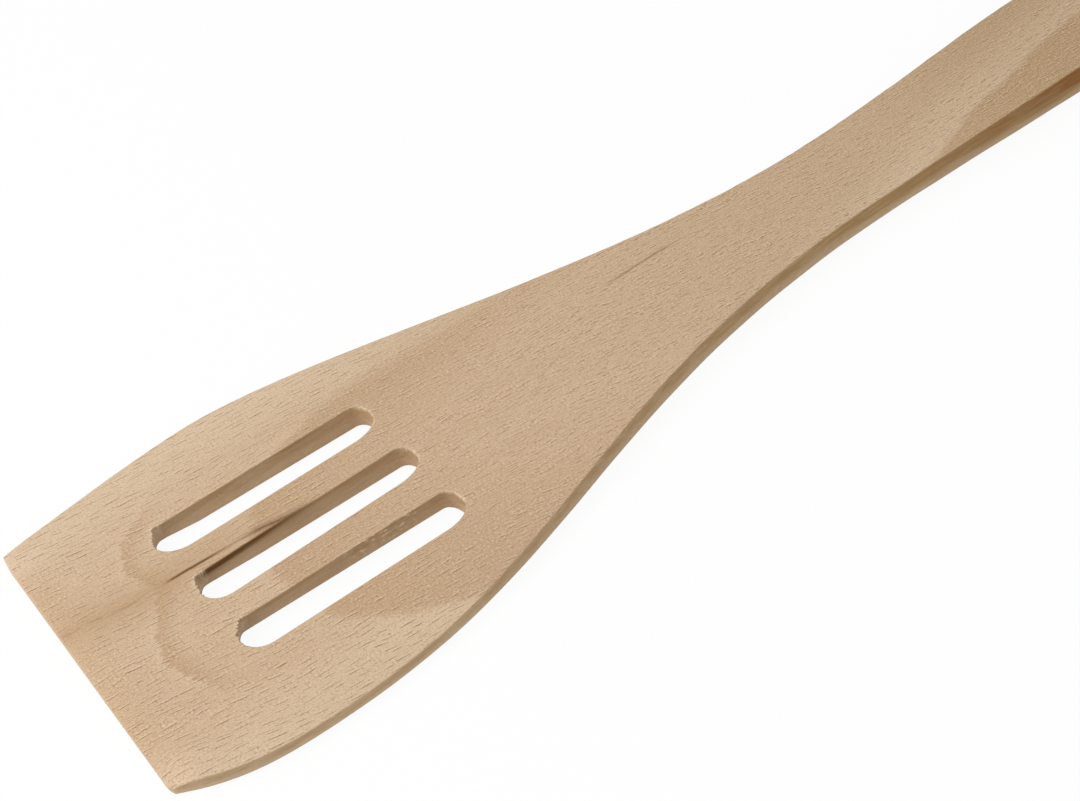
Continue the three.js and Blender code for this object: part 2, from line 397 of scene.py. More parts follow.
# Walls browner towards the grip and towards their upper rims: partly the wood's own sawn colour, partly
# painted shade; none on the front
brownAndShadePlaces, brownAndShadeShares = np.array(board["burn"]).T
edgeBrownAndShadeAmount = np.interp(rimX, brownAndShadePlaces, brownAndShadeShares) * (1 - onFront)
edgeBrownAndShade = edgeWall * edgeBrownAndShadeAmount * smoothStep(edgeZ / edgeZ[0], *board["brownAndShadeRise"])
edgeIndex = addPart(edgePlaces, edgeZ, wallBrownAndShade=edgeBrownAndShade, fold=facing, wall=edgeWall)
faceParts.append(ringQuads(np.concatenate([topLoop[None], edgeIndex, lowLoop[None]])))
print("sanded edge:", edgeIndex.shape)


# Slot outline: straight sides, and ends whose quarters are ellipses of their own reach, grown
# outwards by grow; towards the bottom, at depth 1, the far side has come in and its front corner is
# blunter; the whole leans by the slot's turn
def slotOutline(line, grow, depth=0.0):
    radius = line["radius"] + grow
    reach = line["reach"] * (1 - depth) + line["lowReach"] * depth + grow
    endX = np.sign(line["x"]) * (line["half"] + radius * np.abs(np.cos(line["angle"])))
    sx = np.where(line["atEnd"], endX, line["x"])
    q = np.clip((np.abs(sx) - line["half"] - radius + reach) / reach, 0.0, 1.0)
    sy = line["side"] * np.sqrt(1 - q ** 2) * (radius - line["closing"] * depth)
    return np.stack([sx, sy + line["lean"] * sx], axis=-1)


# Slot carried from its block line: rings close in on the rim, turn down through the eased rim,
# follow the wall and come out on the underside
for k, opening in enumerate(slots["cuts"]):
    rowLow = firstBlockRow + k * board["slotRows"]
    block = (firstBlockColumn, lastBlockColumn, rowLow, rowLow + board["slotRows"])
    shift = -(board["slotColumns"] // 2)
    topRing = np.roll(blockLoop(topIndex, *block), shift)
    lowRing = topRing + gridX.size
    centre = np.array(opening["centre"])
    frameLine = flatPlaces[topRing] - centre
    straightHalf = (opening["length"] - opening["width"]) / 2
    lean = math.tan(math.radians(opening["turn"]))
    farEnd = frameLine[:, 0] > straightHalf
    nearEnd = frameLine[:, 0] < -straightHalf
    angle = np.zeros(len(topRing))
    angle[farEnd] = np.linspace(-math.pi / 2, math.pi / 2, farEnd.sum() + 2)[1:-1]
    angle[nearEnd] = np.linspace(math.pi / 2, 1.5 * math.pi, nearEnd.sum() + 2)[1:-1]
    atEnd = farEnd | nearEnd
    side = np.where(atEnd, np.sign(np.sin(angle)), np.sign(frameLine[:, 1] - lean * frameLine[:, 0]))
    atBackHalf = frameLine[:, 0] > 0
    nearReach = np.where(atBackHalf, opening["nearReach"][1], opening["nearReach"][0])
    farReach = np.where(atBackHalf, slots["farReach"], opening["width"] / 2)
    closingPlaces, closingSizes = np.array(opening["closing"]).T
    line = {
        "x": frameLine[:, 0], "side": side, "lean": lean, "half": straightHalf, "angle": angle,
        "atEnd": atEnd, "radius": opening["width"] / 2,
        "reach": np.where(side < 0, nearReach, farReach),
        "lowReach": np.where(side < 0, nearReach, slots["farReach"]),
        "closing": np.where(side > 0, np.interp(frameLine[:, 0], closingPlaces, closingSizes), 0.0),
    }

    # The cutter tore the far corner of each front end: the rim runs straight on to a broken point, as
    # one over the sine of the turn does, and then falls back evenly to the round end
    peak, fall, size = opening["torn"]
    wave = slots["tornWave"]
    degrees = np.where(nearEnd, np.degrees(angle), 90.0)
    straightOn = 1 / np.sin(np.radians(np.clip(degrees, 90.0, peak))) - 1
    tornShare = straightOn / straightOn.max() * np.clip(1 - (degrees - peak) / fall, 0.0, 1.0)
    torn = size * tornShare * (1 + wave["size"] * np.sin(degrees * wave["pace"] + wave["start"] * k))
    frayed = window(degrees, *slots["frayedTurn"])
    jags = np.random.default_rng(slots["jagSeed"] + k).uniform(-1.0, 1.0, len(topRing))
    torn = torn + slots["jag"] * frayed * jags
    atBack = np.where(farEnd, np.cos(angle), 0.0)
    rim = slots["rimEase"][0] * (1 - atBack) + slots["rimEase"][1] * atBack
    rim = rim * (1 - slots["tornRim"] * tornShare)
    lowerRim = slots["lowerRimEase"]

    # Rings on the lands, eased rims and wall, from the top block line to the lower one
    share = np.linspace(0.0, 1.0, slots["landRings"] + 1)[1:, None]
    share = 1 - (1 - share) ** slots["landSpread"]
    atRim = share ** slots["lipPower"]
    towards = share[..., None]
    land = frameLine * (1 - towards) + slotOutline(line, rim + torn) * towards + centre
    landZ = topHeight(land[..., 0], land[..., 1]) + slots["lipRise"] * tornShare * atRim
    upper = [slotOutline(line, torn + rim * (1 - math.sin(a))) for a in turn[1:, 0]]
    upperZ = landZ[-1] - rim * (1 - np.cos(turn[1:]))
    wall = [slotOutline(line, torn * (1 - d) ** slots["tornFade"], d) for d in drop[:, 0]]
    wallZ = upperZ[-1] * (1 - drop) + lowerRim * drop
    lower = [slotOutline(line, lowerRim * (1 - math.cos(a)), 1.0) for a in turn[:, 0]]
    lowerZ = np.repeat(lowerRim * (1 - np.sin(turn)), len(topRing), axis=1)
    under = frameLine * (1 - towards) + slotOutline(line, lowerRim, 1.0) * towards + centre
    under = under[::-1][1:]
    rings = np.concatenate([land, np.stack(upper + wall + lower) + centre, under])
    ringZ = np.concatenate([landZ, upperZ, wallZ, lowerZ, np.zeros(under.shape[:2])])
    rimRings = slice(len(land), len(land) + len(upper))
    wallRings = slice(rimRings.stop, rimRings.stop + len(wall))

    # Walls browner towards the top, partly their own colour and partly painted shade; pale fibres at the
    # frayed end, a painted highlight on the back rim, and chips
    slotWall = np.concatenate([
        np.zeros(len(land)), np.sin(turn[1:, 0]) ** 2, np.ones(len(wall)), np.cos(turn[:, 0]) ** 2,
        np.zeros(len(under)),
    ])[:, None]
    # the walls' brown, partly their own colour and partly painted shade, grows from the bottom to the
    # top
    lowBrownAndShade, highBrownAndShade = slots["burn"]
    slotBrownAndShade = lowBrownAndShade + (highBrownAndShade - lowBrownAndShade) * ringZ / landZ[-1]
    slotBrownAndShade = slotBrownAndShade * (1 - slots["frayedLoss"] * frayed)
    pale = slots["fibresAndHighlight"]
    fibresAndHighlight = np.zeros(ringZ.shape)
    # torn and frayed fibres are pale; along the back rims the pale is a painted highlight
    fibresAndHighlight[:len(land)] = atRim * (np.maximum(tornShare, pale["land"] * frayed) + pale["landBackHighlight"] * atBack)
    fibresAndHighlight[rimRings] = np.maximum(tornShare, pale["rim"] * frayed) + pale["rimBackHighlight"] * atBack
    fibresAndHighlight[wallRings] = pale["wall"] * frayed
    chip = np.zeros(ringZ.shape)
    if opening["chipped"]:
        first, last = opening["chipped"]
        ease = slots["chipEase"]
        chipped = window(frameLine[:, 0] + centre[0], first, first + ease, last - ease, last)
        chipped = np.where(side > 0, chipped, 0.0)
        chip[rimRings] = slots["chip"]["rim"] * chipped
        chip[wallRings] = chipped * (1 - slots["chip"]["wallLoss"] * drop)
    inwardX = np.where(atEnd, -np.cos(angle), 0.0)
    inwardY = np.where(atEnd, -np.sin(angle), -side)
    inward = np.stack([inwardX, inwardY], axis=1)
    ringIndex = addPart(rings, ringZ, slotWall * slotBrownAndShade, inward, fibresAndHighlight, slotWall, chip)
    faceParts.append(ringQuads(np.concatenate([topRing[None], ringIndex, lowRing[None]]))[:, ::-1])
    print("slot", k + 1, "rings:", ringIndex.shape)


# Points and faces of the whole board, with the grid points inside the slot blocks left out
allFaces = np.concatenate(faceParts)
used = np.unique(allFaces)
fields = {name: np.concatenate(values)[used] for name, values in parts.items()}
newPlace = np.full(allFaces.max() + 1, -1)
newPlace[used] = np.arange(len(used))
boardFaces = newPlace[allFaces]
boardPoints = fields["points"]


def addObject(name, data):
    made = bpy.data.objects.new(name, data)
    bpy.context.scene.collection.objects.link(made)
    return made


boardMesh = bpy.data.meshes.new("beech_turner")
placed = boardPoints * mm + np.array([cadLow.x, (cadLow.y + cadHigh.y) / 2, cadLow.z])
boardMesh.from_pydata(placed.tolist(), [], boardFaces.tolist())
boardMesh.polygons.foreach_set("use_smooth", np.ones(len(boardFaces), bool))
turner = addObject("beech_turner", boardMesh)
print("board:", len(boardPoints), "points,", len(boardFaces), "faces")


# Figure of the wood: fields in mm that the finish reads as attributes
figure = {
    "grainSlope": ((0, -0.26), (25, -0.14), (50, -0.09), (80, -0.16), (120, -0.14), (150, -0.17),
                   (180, -0.16), (215, -0.12), (300, -0.07)),
    "grainRun": (-15, 315, 1321),  # first and last station of the sum, and its steps
    "turnBack": 3,  # on the walls the grain turns back this much faster
    "frontLobes": ((12.6, -8.4, 0.035), (16.6, 13.6, 0.075)),  # apex station, apex side, bend
    "lobeBlend": 1.5,
    "frontFade": (2, 16, 26),  # the front rings end this far from their middle line
    "outerRun": (12, 18, 25, 29),  # a weaker ring ahead of them shows between these
    "middleApex": (37.6, -4.4, 0.012, 0.00004),  # station, side, bow, lift
    "middleLean": 0.85,  # the right flank opens more
    "middleFade": (19, 25),  # the middle ring ends here towards the left
    "gripLine": ((0, -65), (150, -26.3), (190, -15.8), (202, -12.3), (219, -7.3), (246, -2.8),
                 (300, 3.7)),
    "streakLine": ((0, 9.8), (8, 8), (13, 6.7), (22, 6.45), (26, 6.25), (41, 4.85), (47, 3.6),
                   (58, 3.3), (110, 2.2), (300, 1.7)),
    "neckLine": ((0, 13), (128, 8.2), (150, 7.4), (300, 2)),
    "rimShadeRun": (25, 28, 40, 58),  # where the painted shade under the middle slot's far rim runs
    "rimShadeHeight": (0.56, 0.3, 0.22),  # its lower edge, how far that climbs, and its softness
    "rimShadeDepth": (0.15, 0.5),  # it ends this far from the wall's line
}


# Bent line through points, and the distance to it across the board
def besideLine(points, x, y):
    stations, places = np.array(points, float).T
    return y - np.interp(x, stations, places)


# Distance to a curve x = a(y): the difference in x, divided by the length of the gradient
def signedDistance(value, slope):
    return value / np.sqrt(1 + slope ** 2)


# Grain coordinates: the top face runs on over each edge and down the wall, and turns back in the
# wall's last quarter; across the board the running sum of the grain's slope is taken off
def grainPlaces(x, y, z, fold):
    thick = topHeight(np.maximum(x, 0.0), y)
    depth = np.maximum(thick - z, 0.0)
    along = np.minimum(depth, figure["turnBack"] * np.maximum(thick - depth, 0.0))
    u = x + fold[:, 0] * along
    v = y + fold[:, 1] * along
    stations, slopes = np.array(figure["grainSlope"], float).T
    fine = np.linspace(*figure["grainRun"])
    bend = np.cumsum(np.interp(fine, stations, slopes)) * (fine[1] - fine[0])
    return np.stack([u, v - np.interp(u, fine, bend), depth], axis=1)


# Ring distances: two soft-joined parabolas for the front rings, an even quartic for the middle
# ring and a bent line for the ring on the grip
def ringPlaces(x, y):
    (apexA, sideA, bendA), (apexB, sideB, bendB) = figure["frontLobes"]
    lobeA = apexA + bendA * (y - sideA) ** 2
    lobeB = apexB + bendB * (y - sideB) ** 2
    k = figure["lobeBlend"]
    front = -k * np.logaddexp(-lobeA / k, -lobeB / k)
    frontSlope = np.where(lobeA < lobeB, 2 * bendA * (y - sideA), 2 * bendB * (y - sideB))
    apex, side, bow, lift = figure["middleApex"]
    v = np.where(y < side, figure["middleLean"], 1.0) * (y - side)
    middle = apex + bow * v ** 2 + lift * v ** 4
    return np.stack([
        signedDistance(x - front, frontSlope),
        signedDistance(x - middle, 2 * bow * v + 4 * lift * v ** 3),
        -besideLine(figure["gripLine"], x, y),
    ], axis=1)


# Ring strengths: 1 where the front, middle or outer ring is clear, 0 where it has run out
def ringStrengths(y):
    middleLine, start, end = figure["frontFade"]
    front = 1 - smoothStep(np.abs(y - middleLine), start, end)
    middle = 1 - smoothStep(y, *figure["middleFade"])
    outer = window(y, *figure["outerRun"])
    return np.stack([front, middle, outer], axis=1)


# Streak distances: the dark streak on the blade, the thin line on the neck, and a band of painted shade
# that is
# 1 under the far rim of the middle slot
def streakAndRimShadePlaces(x, y, z):
    opening = slots["cuts"][1]
    lean = math.tan(math.radians(opening["turn"]))
    wallLine = opening["centre"][1] + opening["width"] / 2 + lean * (x - opening["centre"][0])
    run = window(x, *figure["rimShadeRun"])
    _, full, _, end = figure["rimShadeRun"]
    lowest, climb, softness = figure["rimShadeHeight"]
    below = lowest + climb * np.clip((x - full) / (end - full), 0.0, 1.0)  # it thins out to the rear
    under = smoothStep(z / topHeight(x, y), below, below + softness)
    rimShade = run * under * (1 - smoothStep(np.abs(y - wallLine), *figure["rimShadeDepth"]))
    return np.stack([
        besideLine(figure["streakLine"], x, y), besideLine(figure["neckLine"], x, y), rimShade,
    ], axis=1)


boardX, boardY, boardZ = boardPoints.T
layers = {
    "grain": grainPlaces(boardX, boardY, boardZ, fields["fold"]),
    "rings": ringPlaces(boardX, boardY),
    "ringStrengths": ringStrengths(boardY),
    "streaksAndRimShade": streakAndRimShadePlaces(boardX, boardY, boardZ),
}
layers.update({name: fields[name] for name in ("wallBrownAndShade", "fibresAndHighlight", "wall", "chip")})
for name, values in layers.items():
    kind, key = ("FLOAT_VECTOR", "vector") if values.ndim > 1 else ("FLOAT", "value")
    layer = boardMesh.attributes.new(name, kind, "POINT")
    layer.data.foreach_set(key, values.astype(np.float32).ravel())
boardMesh.update()
print("figure fields written")


# Empty node tree of a material or a world, and the socket that shows
def emptyTree(holder, outputKind):
    holder.use_nodes = True
    tree = holder.node_tree
    tree.nodes.clear()
    return tree, addNode(tree, outputKind).inputs[0]


# Adds a node to a tree: settings are its options, and an input is a number, a tuple or a signal
def addNode(tree, kind, inputs=(), **settings):
    node = tree.nodes.new("ShaderNode" + kind)
    for name, value in settings.items():
        setattr(node, name, value)
    for name, value in dict(inputs).items():
        if isinstance(value, Signal):
            tree.links.new(value.socket, node.inputs[name])
        else:
            node.inputs[name].default_value = value
    return node


def newSignal(tree, kind, inputs=(), output=0, **settings):
    return Signal(addNode(tree, kind, inputs, **settings).outputs[output])


def attribute(tree, name, output="Fac"):
    return newSignal(tree, "Attribute", (), output, attribute_name=name)


# Signal: a node's output, which more nodes of its tree can add, multiply, mix and so on
class Signal:
    def __init__(self, socket):
        self.socket = socket

    def to(self, kind, inputs, output=0, **settings):
        return newSignal(self.socket.id_data, kind, inputs, output, **settings)

    def math(self, operation, *others, clamp=False):
        return self.to("Math", enumerate((self, *others)), operation=operation, use_clamp=clamp)

    def __add__(self, other):
        return self.math("ADD", other)

    def __sub__(self, other):
        return self.math("SUBTRACT", other)

    def __mul__(self, other):
        return self.math("MULTIPLY", other)

    def __truediv__(self, other):
        return self.math("DIVIDE", other)

    def __abs__(self):
        return self.math("ABSOLUTE")

    def vectorMath(self, operation, other):
        return self.to("VectorMath", enumerate((self, other)), operation=operation)

    def split(self):
        return [Signal(s) for s in addNode(self.socket.id_data, "SeparateXYZ", {0: self}).outputs]

    def ranged(self, fromLow, fromHigh, toLow=0.0, toHigh=1.0, kind="SMOOTHSTEP"):
        values = (self, fromLow, fromHigh, toLow, toHigh)
        return self.to("MapRange", enumerate(values), interpolation_type=kind)

    # Straight line from low to high as the signal runs from 0 to 1
    def span(self, low, high):
        return self.ranged(0.0, 1.0, low, high, "LINEAR")

    # Range of the finish, by name
    def read(self, name):
        return self.ranged(*beech[name])

    def noise(self, name):
        plan = beech[name]
        inputs = {"Vector": self.to("Mapping", {0: self, 3: plan["scale"]}), "Scale": 1.0}
        inputs.update({"Detail": plan["detail"], "Roughness": plan.get("roughness", 0.5)})
        return self.to("TexNoise", inputs)

    # The wood mixed with a colour of the finish, by the signal as the share; a mix node's colours are
    # inputs 6 and 7 and output 2
    def tint(self, wood, name, blend="MIX"):
        inputs = {0: self, 6: wood, 7: colours[name]}
        return self.to("Mix", inputs, 2, data_type="RGBA", blend_type=blend)


# Screen value to linear light, by the usual curve for screens
def toLinear(r, g, b):
    channel = [v / 255 for v in (r, g, b)]
    return tuple(v / 12.92 if v <= 0.04045 else ((v + 0.055) / 1.055) ** 2.4 for v in channel) + (1.0,)


# Beech finish: colours are 8-bit screen values. Noises and lengths are in mm, apart from those on the
# walls, which are in metres. A range names two values of what is read, and two of what comes out.
beech = {
    "colours": {
        "wood": (206, 180, 150), "pale": (222, 199, 171), "warm": (186, 152, 117),
        "fleck": (146, 111, 80), "ring": (176, 141, 105), "golden": (172, 140, 98),
        # the streak colour darkens the band of painted shade under the middle slot's far rim
        "handle": (172, 142, 106), "streak": (90, 54, 2),
        "stain": (152, 125, 90),  # the dark streak and the neck's line are multiplied by this
        "burn": (210, 195, 160),  # sawn walls are multiplied by this, for their own brown and for painted shade, and the grip's by the next colour as well
        "char": (222, 188, 150),
    },
    # Streaks along the grain, dashes and pores: a darker tone in one range of a noise, pale in another
    "broad": {"scale": (0.012, 0.16, 0.16), "detail": 2, "tone": "warm",
              "dark": (0.45, 0.75, 0, 0.15), "pale": (0.5, 0.25, 0, 0.15)},
    "fibre": {"scale": (0.1, 2.6, 2.6), "detail": 3, "roughness": 0.6, "tone": "warm",
              "dark": (0.45, 0.8, 0, 0.3), "pale": (0.5, 0.2, 0, 0.3)},
    "dashes": {"scale": (0.42, 3.4, 3.4), "detail": 2, "roughness": 0.6, "tone": "fleck",
               "dark": (0.5, 0.72, 0, 1), "pale": (0.5, 0.3, 0, 1.6)},
    "pores": {"scale": (2.1, 3.6, 3.6), "detail": 2, "roughness": 0.7, "tone": "fleck",
              "dark": (0.5, 0.8, 0, 0.9), "pale": (0.5, 0.2, 0, 1.15)},
    # Shifts: the grain's waver across its own line, and the slow warp and fine jag of the rings
    "waver": {"scale": (0.045, 0.12, 0.12), "detail": 2, "size": 2},
    "warp": {"scale": (0.06, 0.2, 0.2), "detail": 4, "size": 2},
    "jag": {"scale": (0.3, 1.3, 1.3), "detail": 2, "size": 1.6},
    # Tones by place, with painted shade on the blade's right half and on the nose
    "handleTone": (100, 165, 0, 0.19),  # the wood is a little darker from the neck on
    "gripTone": (195, 245, 0, 0.52),  # and again on the grip
    "sideShade": (14, -20, 0, 0.17),  # painted shade: the blade's right half is a little darker, as if its face fell away from the light
    "sideShadeRun": (140, 110),
    "noseShade": (9, 1, 0, 0.28),  # painted shade: the planed nose is darkened, so that its forward tilt shows no brighter than the top
    "bladeTone": (120, 60, 0, 0.12),  # the blade is darker in the middle than on its flanks
    "bladeMiddle": (28, 20),
    "flankTone": (24, 36, 0, 0.4),  # the flanks are paler
    # Rings: blur, reach of the tone, tone near and far, reach and share of the pale side, colour
    "rings": {
        "outer": (0.8, 5, 0.16, 0, 3, 0, "ring"),
        "front": (0.45, 4.5, 0.66, 0.06, 2.5, 0.2, "ring"),
        "middle": (1.3, 45, 0.6, 0.18, 6, 0.1, "ring"),
        "grip": (0.8, 14, 0.5, 0.2, 14, 0.4, "golden"),
    },
    "outerAhead": 15,  # the outer ring runs this far ahead of the front one
    "gripSmooth": -0.5,  # the grip's ring loses half of its raggedness
    # Ray flecks: spacing along and across, half length and half width, share of places that have one
    "longFleck": {"cell": (4.8, 1.15), "lens": (2.2, 0.12), "share": 0.93, "randomness": 0.6},
    "shortFleck": {"cell": (2.9, 0.85), "lens": (1.3, 0.12), "share": 0.8, "randomness": 0.8},
    "fleckStagger": 0.38, "fleckOnset": 0.05, "fleckStrength": (0.5, 1),
    "fleckReach": (0.55, 1.25),  # shortest and longest fleck, in half lengths
    "fleckHighlight": (1.9, 1.2),  # the pale line beside a fleck, a painted highlight: its shift and size in half widths
    "fleckSoft": (1, 0.2),
    "litShare": 0.6,
    "handleRun": (60, 120),  # the blade's long flecks give way to short ones between these
    "longShare": (0.92, 0.35),  # shares on the blade and on the handle
    "shortShare": (0.2, 0.95),
    "dashShare": (0.1, 0.16),
    # Lines: half width, window along the board and share
    "streakStart": (0.55, (20, 23, 26, 36), 1),
    "streakMiddle": (0.5, (22, 32, 44, 52), 0.4),
    "streakSmudge": (1.5, (36, 42, 47, 55), 0.45),
    "vein": (0.6, (-3, 0, 13, 19), 0.3),
    "haze": (10, (-10, 8, 30, 60), 0.35),
    "core": (3.8, (-20, -10, 18, 30), 0.2),
    "neckLine": (0.5, (125, 134, 142, 152), 0.65),
    "streakWander": 0.15,  # how far the lines follow the rings' warp
    "coreWander": 0.5, "neckWander": 0.35,
    "veinBreaks": (0.42, 0.6),
    "neckBreaks": (0.6, 0.4, 0.4, 1),
    # Walls: uneven patches in the brown and painted shade, painted shade under the middle slot's rim,
    # hatched fibres that lie in flakes, and chips
    "wallShare": 0.6,  # walls show less figure than the top
    "patches": {"scale": (80, 900, 900), "detail": 3},
    "patchRange": (0.3, 0.7, 0.75, 1.25),
    "rimShadeShare": 0.92,
    "flakes": {"scale": (1000, 1000, 900), "detail": 2},
    "flakeRange": (0.38, 0.6, 0.4, 1.3),
    "hatch": {"scale": (2600, 2600, 400), "detail": 2, "tone": "fleck",
              "dark": (0.46, 0.34, 0, 0.3), "pale": (0.4, 0.58, 0.3, 1)},
    "chips": {"scale": (520, 520, 1100), "detail": 3, "roughness": 0.6, "tone": "fleck",
              "dark": (0.45, 0.36, 0, 0.4), "pale": (0.56, 0.62, 0, 1)},
    "roughness": (0.3, 0.7, 0.62, 0.8),
    "specular": 0.2,
    "bump": (0.35, 0.0001),
}
colours = {name: toLinear(*value) for name, value in beech["colours"].items()}


# Speckle: one noise tints the wood with a darker tone in one range and with pale in another
def speckle(wood, vector, name, amount=1.0):
    noise = vector.noise(name)
    plan = beech[name]
    for colour, limits in ((plan["tone"], plan["dark"]), ("pale", plan["pale"])):
        wood = (noise.ranged(*limits) * amount).tint(wood, colour)
    return wood, noise


# Shift: a noise, and the same noise spread evenly from minus its size to its size
def shifted(vector, name):
    noise = vector.noise(name)
    size = beech[name]["size"]
    return noise, noise.span(-size, size)


# Line: 1 on a line and 0 from width on at both sides, times a window along the board, times its share
def drawLine(distance, station, name):
    width, (start, full, fade, end), share = beech[name]
    line = abs(distance).ranged(0.0, width, 1.0, 0.0)
    return line * station.ranged(start, full) * station.ranged(fade, end, 1.0, 0.0) * share


# Flecks: the nearest cell centre is found in staggered rows along the grain, and a lens is drawn
# round it by the length of the offset counted in lens lengths and lens widths; each cell's own
# random colour picks whether it carries a fleck, how dark it is and how long
def fleckLenses(vector, name):
    plan = beech[name]
    along, across = plan["cell"]
    halfLength, halfWidth = plan["lens"]
    stagger = beech["fleckStagger"]
    x, y, _ = vector.split()
    row = y / across
    spot = row.to("CombineXYZ", {0: row * stagger + x / along, 1: row})
    inputs = {"Vector": spot, "Scale": 1.0, "Randomness": plan["randomness"]}
    cells = addNode(spot.socket.id_data, "TexVoronoi", inputs, voronoi_dimensions="2D")
    aheadCells, asideCells, _ = spot.vectorMath("SUBTRACT", Signal(cells.outputs["Position"])).split()
    chance, shade, size = Signal(cells.outputs["Color"]).split()
    missing = 1 - plan["share"]
    strength = chance.ranged(missing, missing + beech["fleckOnset"])
    strength = strength * shade.span(*beech["fleckStrength"])
    shortest, longest = beech["fleckReach"]
    reach = size.span(shortest * halfLength, longest * halfLength)
    u = (aheadCells - asideCells * stagger) * along / reach
    highlightShift, highlightSize = beech["fleckHighlight"]
    lenses = []
    for shift, width in ((0.0, halfWidth), (highlightShift * halfWidth, highlightSize * halfWidth)):
        v = (asideCells * across - shift) / width
        lenses.append((u * u + v * v).read("fleckSoft") * strength)
    return lenses  # the dark fleck, and the pale line of painted highlight beside it


def makeBeech():
    material = bpy.data.materials.new("beech")
    tree, surface = emptyTree(material, "OutputMaterial")
    straight = attribute(tree, "grain", "Vector")
    station, acrossGrain, _ = straight.split()
    place = newSignal(tree, "TexCoord", (), "Object")

    # The grain wanders a little across its own line, with broad and fine streaks along it
    waver = shifted(straight, "waver")[1]
    grain = straight.vectorMath("ADD", waver.to("CombineXYZ", {1: waver}))
    wood, _ = speckle(colours["wood"], grain, "broad")
    wood, fibre = speckle(wood, grain, "fibre")

    # Tones by place: handle, grip, painted shade on the right half and the nose, middle and flanks
    tone = station.read("handleTone") + station.read("gripTone")
    wood = tone.tint(wood, "handle")
    # painted shade on the blade's right half, up to the neck
    tone = acrossGrain.read("sideShade") * station.read("sideShadeRun")
    wood = tone.tint(wood, "ring")
    fromMiddle = abs(place.split()[1]) * (1 / mm)
    # painted shade on the planed nose, added to the blade's darker middle
    tone = station.read("noseShade") + station.read("bladeTone")
    wood = (tone * fromMiddle.read("bladeMiddle")).tint(wood, "ring")
    wood = fromMiddle.read("flankTone").tint(wood, "pale")

    # Growth rings: dark just behind the boundary, fading further on, and pale in front of it
    wander = shifted(straight, "warp")[1]
    jag, jagShift = shifted(grain, "jag")
    ragged = wander + jagShift
    frontRing, middleRing, gripRing = attribute(tree, "rings", "Vector").split()
    frontShows, middleShows, outerShows = attribute(tree, "ringStrengths", "Vector").split()
    ringSignals = {  # distance and strength
        "outer": (frontRing + beech["outerAhead"], outerShows),
        "front": (frontRing, frontShows),
        "middle": (middleRing, middleShows),
        "grip": (gripRing + ragged * beech["gripSmooth"], 1.0),
    }
    for name, (ring, strength) in ringSignals.items():
        blur, reach, near, far, paleReach, paleShare, colour = beech["rings"][name]
        distance = ring + ragged
        behind = distance.ranged(-blur, blur)
        tail = distance.ranged(0.0, reach, near, far, "LINEAR") * strength
        wood = (behind * tail).tint(wood, colour)
        before = distance.ranged(-paleReach, 0.0, 0.0, paleShare) * strength
        wood = (before * behind.span(1.0, 0.0)).tint(wood, "pale")

    # Ray flecks: long thin ones on the blade, shorter and closer ones towards the handle, each with a
    # painted highlight beside it
    onward = station.read("handleRun")
    longShare = onward.span(*beech["longShare"])
    shortShare = onward.span(*beech["shortShare"])
    pairs = zip(fleckLenses(grain, "longFleck"), fleckLenses(grain, "shortFleck"))
    dark, lit = [(a * longShare).math("MAXIMUM", b * shortShare) for a, b in pairs]
    # painted highlight: the pale line beside each fleck
    wood = (lit * beech["litShare"]).tint(wood, "pale")
    wood = dark.tint(wood, "fleck")

    # Short dashes, most of all on the neck and handle, and pores as a fine speckle
    wood, _ = speckle(wood, grain, "dashes", onward.span(*beech["dashShare"]))
    wood, pores = speckle(wood, grain, "pores")

    # Dark streak on the blade with its vein and haze, and a thin broken line on the neck
    besideStreak, besideNeck, rimShade = attribute(tree, "streaksAndRimShade", "Vector").split()
    offLine = besideStreak + wander * beech["streakWander"]
    streak = drawLine(offLine, station, "vein") * jag.read("veinBreaks")
    for name in ("streakStart", "streakMiddle", "streakSmudge"):
        streak = streak + drawLine(offLine, station, name)
    haze = drawLine(besideStreak + wander, station, "haze")
    haze = haze + drawLine(besideStreak + ragged * beech["coreWander"], station, "core")
    neckLine = drawLine(besideNeck + wander * beech["neckWander"], station, "neckLine")
    wood = haze.tint(wood, "ring")
    wood = streak.tint(wood, "stain", "MULTIPLY")
    wood = (neckLine * pores.read("neckBreaks")).tint(wood, "stain", "MULTIPLY")

    # Sawn and routed walls are browner towards their upper rims, in uneven streaks: partly the wood's
    # own colour, partly painted shade
    wall, wallBrownAndShade, fibresAndHighlight, chip = [attribute(tree, name) for name in ("wall", "wallBrownAndShade", "fibresAndHighlight", "chip")]
    wood = (wall * beech["wallShare"]).tint(wood, "wood")
    brownedAndShaded = wallBrownAndShade * place.noise("patches").read("patchRange")
    wood = brownedAndShaded.tint(wood, "burn", "MULTIPLY")
    wood = brownedAndShaded.math("SUBTRACT", 1.0, clamp=True).tint(wood, "char", "MULTIPLY")
    # painted shade: a dark band under the middle slot's far rim
    wood = (rimShade * beech["rimShadeShare"]).tint(wood, "streak")

    # Frayed fibres as upright hatching where the cutter tore the wood, the same hatching as a painted
    # highlight on the slots' back rims, and pale chips with dark gaps
    fibresAndHighlight = fibresAndHighlight * place.noise("flakes").read("flakeRange")
    wood, _ = speckle(wood, place, "hatch", fibresAndHighlight)
    wood, _ = speckle(wood, place, "chips", chip)
    strength, depth = beech["bump"]
    bump = fibre.to("Bump", {"Strength": strength, "Distance": depth, "Height": fibre - dark})
    look = newSignal(tree, "BsdfPrincipled", {
        "Base Color": wood, "Roughness": fibre.read("roughness"),
        "Specular IOR Level": beech["specular"], "Normal": bump,
    })
    tree.links.new(look.socket, surface)
    return material


turner.data.materials.append(makeBeech())
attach(turner, "root")
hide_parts("spatula_body")
print("beech finish made")


